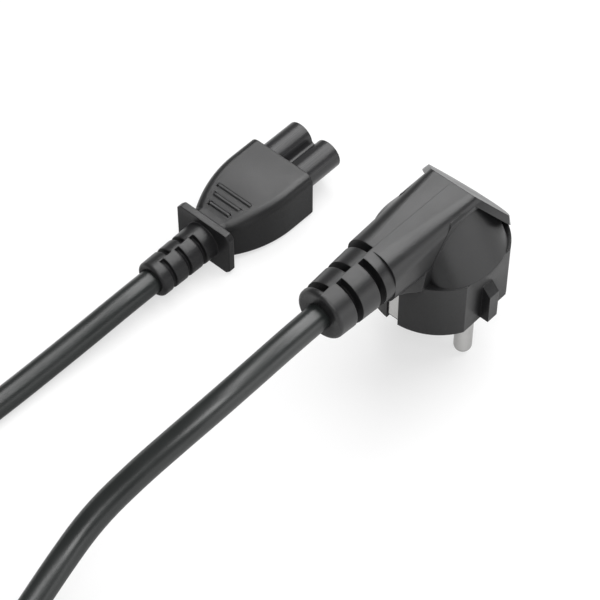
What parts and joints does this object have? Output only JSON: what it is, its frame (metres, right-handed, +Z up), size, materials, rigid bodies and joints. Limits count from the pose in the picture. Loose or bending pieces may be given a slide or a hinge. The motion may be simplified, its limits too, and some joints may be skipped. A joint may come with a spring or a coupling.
{
  "type": "cloverleaf power cord",
  "caption": "Mains lead with an angled round earthed plug, a round black cord with a tied coil, and a cloverleaf appliance connector.",
  "frame": {"origin": "on the floor, under the middle of the box round the plug and the connector, cord left out", "axes": "+X the way the connector's nose points, +Y from the plug to the connector, +Z up, away from the plug's pins"},
  "size_m": [0.2522, 0.102, 0.0535],
  "materials": {
    "overmould": "satin moulded",
    "insert": "moulded",
    "nose": "semi-gloss moulded",
    "nickel": "nickel plated",
    "contact": "drawn",
    "core_brown": "extruded",
    "core_blue": "extruded",
    "core_green": "extruded",
    "sheath": "satin extruded",
    "tie": "woven"
  },
  "bodies": {
    "root": {"plug_overmould": "overmould", "connector_overmould": "overmould", "plug_insert": "insert", "connector_insert": "nose", "line_pin": "nickel", "neutral_pin": "nickel", "earth_strip": "nickel", "earth_socket": "nickel", "line_contact": "contact", "neutral_contact": "contact", "earth_contact": "contact", "plug_line_core": "core_brown", "plug_neutral_core": "core_blue", "plug_earth_core": "core_green", "connector_line_core": "core_brown", "connector_neutral_core": "core_blue", "connector_earth_core": "core_green", "cord_plug_end": "sheath", "cord_connector_end": "sheath", "cord_coil": "sheath", "coil_tie": "tie"}
  },
  "joints": []
}
